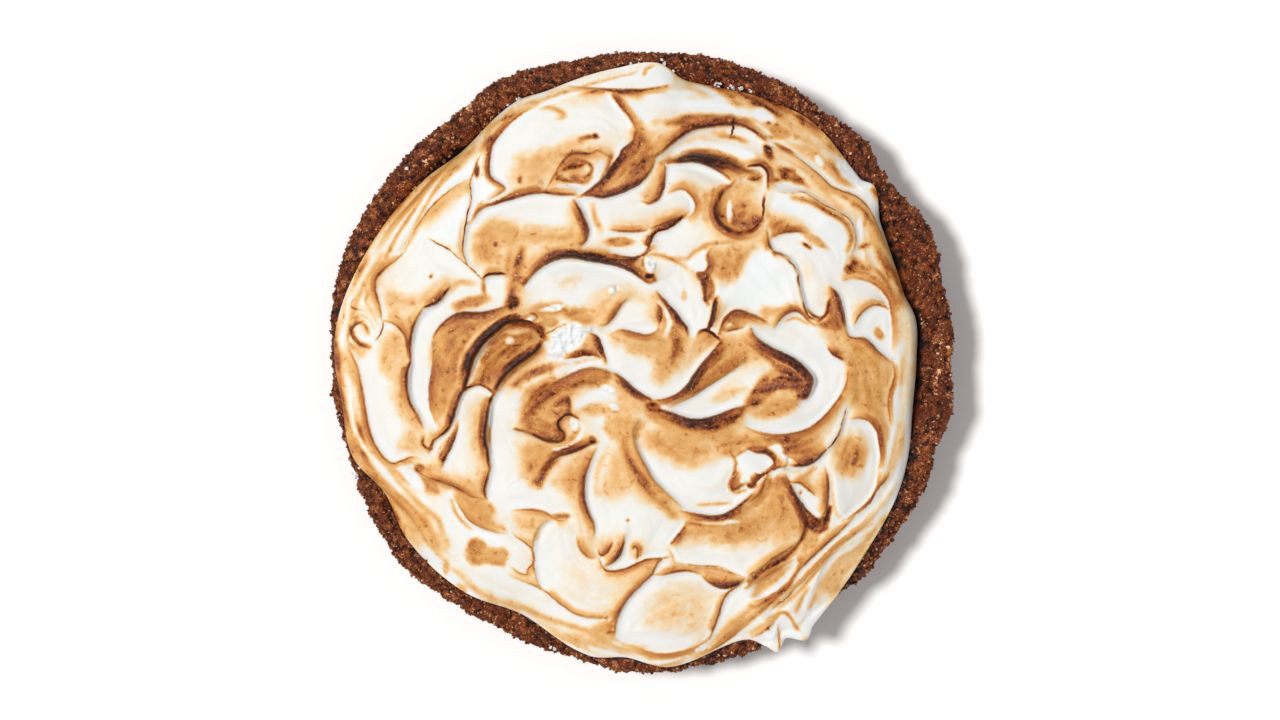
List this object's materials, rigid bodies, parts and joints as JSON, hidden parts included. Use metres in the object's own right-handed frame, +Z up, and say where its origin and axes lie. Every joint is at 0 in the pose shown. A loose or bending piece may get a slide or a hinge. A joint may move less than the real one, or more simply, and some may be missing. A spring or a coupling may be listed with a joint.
{
  "type": "sweet potato pie",
  "caption": "Whole round sweet potato pie in a crumb crust, domed with toasted meringue in spooned folds, two tips hanging over the rim.",
  "frame": {"origin": "middle of the pie's flat underside", "axes": "+Z up out of the meringue; +X and +Y across the pie, with the two hanging meringue tips towards +X and -Y"},
  "size_m": [0.2417, 0.2407, 0.0609],
  "materials": {
    "crust": "baked brown biscuit-crumb crust, rough and grainy, with pale sugar grains",
    "meringue": "soft white meringue, toasted golden to dark brown on its crests"
  },
  "bodies": {
    "root": {"crust": "crust", "meringue": "meringue"}
  },
  "joints": []
}
